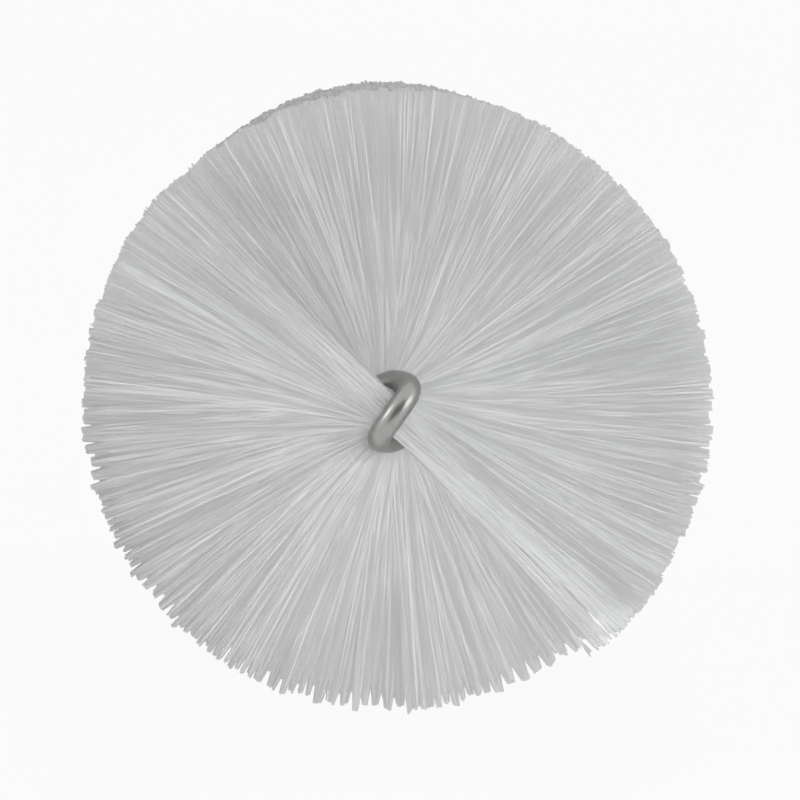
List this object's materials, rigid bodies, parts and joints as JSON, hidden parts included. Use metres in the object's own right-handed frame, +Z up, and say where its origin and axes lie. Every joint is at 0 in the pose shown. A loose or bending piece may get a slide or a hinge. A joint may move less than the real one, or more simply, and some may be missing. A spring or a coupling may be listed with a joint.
{
  "type": "bottle brush",
  "caption": "Twisted-wire bottle brush: round head of white bristles held by a folded steel wire, bare twisted stem, and a moulded handle with a hanging hole.",
  "frame": {"origin": "centre of the bounding box's base, on the table that the brush lies on", "axes": "+Y along the brush, from the fold of the wire in front to the handle's tail behind; +Z up, with the brush lying on its rear bristles and the end of its tail"},
  "size_m": [0.06, 0.3869, 0.0693],
  "materials": {
    "stainless_wire": "bright drawn",
    "bristle": "translucent white filament",
    "handle": "moulded, satin"
  },
  "bodies": {
    "root": {"core_wire": "stainless_wire", "bristle_turn_01": "bristle", "bristle_turn_02": "bristle", "bristle_turn_03": "bristle", "bristle_turn_04": "bristle", "bristle_turn_05": "bristle", "bristle_turn_06": "bristle", "bristle_turn_07": "bristle", "bristle_turn_08": "bristle", "bristle_turn_09": "bristle", "bristle_turn_10": "bristle", "bristle_turn_11": "bristle", "bristle_turn_12": "bristle", "bristle_turn_13": "bristle", "bristle_turn_14": "bristle", "bristle_turn_15": "bristle", "bristle_turn_16": "bristle", "handle": "handle"}
  },
  "joints": []
}
